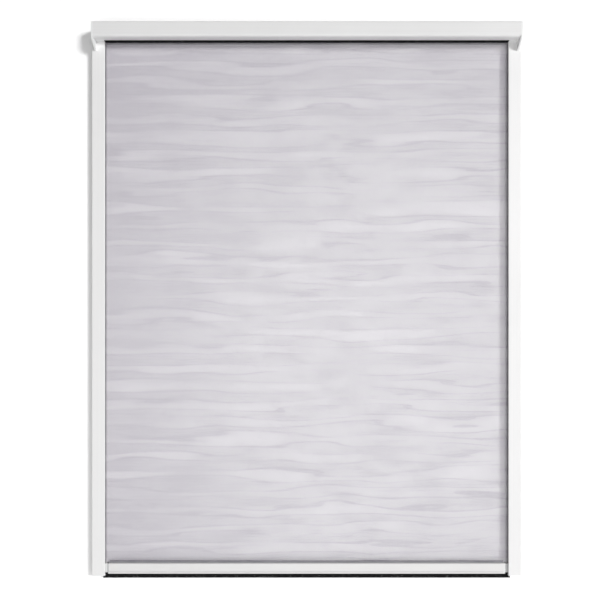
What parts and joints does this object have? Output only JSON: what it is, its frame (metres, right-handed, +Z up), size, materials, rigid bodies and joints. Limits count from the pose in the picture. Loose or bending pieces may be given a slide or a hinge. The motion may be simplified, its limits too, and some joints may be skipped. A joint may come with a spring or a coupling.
{
  "type": "cassette roller insect screen",
  "caption": "White cassette roller insect screen for a window, pulled down: a rounded head box, two side guide rails, fine grey mesh and a pull bar with a black sill brush.",
  "frame": {"origin": "bottom centre of the whole screen's box, at the tips of the pull bar's brush, midway between the rails and midway between wall and front", "axes": "+X to the right seen from the front, +Y to the wall, +Z up; the front faces -Y"},
  "size_m": [1, 0.044, 1.288],
  "materials": {
    "white_aluminium": "satin powder coat",
    "white_plastic": "fine matt",
    "bare_aluminium": "mill finish",
    "steel": "zinc plated",
    "black_pile": "dense pile",
    "mesh": "coated glass fibre mesh",
    "grey_vinyl": "soft vinyl",
    "black_plastic": "moulded"
  },
  "bodies": {
    "frame": {"cassette_housing": "white_aluminium", "left_end_cap": "white_plastic", "right_end_cap": "white_plastic", "cap_screws": "steel", "left_guide_rail": "white_aluminium", "right_guide_rail": "white_aluminium", "left_rail_foot": "white_plastic", "right_rail_foot": "white_plastic", "left_front_brush": "black_pile", "left_back_brush": "black_pile", "right_front_brush": "black_pile", "right_back_brush": "black_pile", "slot_brush": "black_pile", "spring_shaft": "steel", "torsion_spring": "steel", "idle_pin": "steel", "insect_mesh": "mesh"},
    "roller": {"roller_tube": "bare_aluminium", "tube_spline": "grey_vinyl", "wound_mesh": "mesh", "bearing_plug": "black_plastic", "drive_plug": "black_plastic", "idle_plug": "black_plastic"},
    "bar": {"pull_bar": "white_aluminium", "clamp_strip": "grey_vinyl", "bar_brush": "black_pile", "left_bar_glider": "white_plastic", "right_bar_glider": "white_plastic"}
  },
  "joints": [
    {"name": "bar_slide", "type": "slide", "parent": "frame", "child": "bar", "axis": [0, 0, 1], "range_m": [0, 1.205], "deforming": ["insect_mesh"]},
    {"name": "roller_turn", "type": "hinge", "parent": "frame", "child": "roller", "pos_m": [0, 0.00425, 1.272], "axis": [1, 0, 0], "range_deg": [0, 5800]}
  ],
  "couplings": [
    {"joint": "roller_turn", "follows": "bar_slide", "rad_per_m": 83}
  ]
}
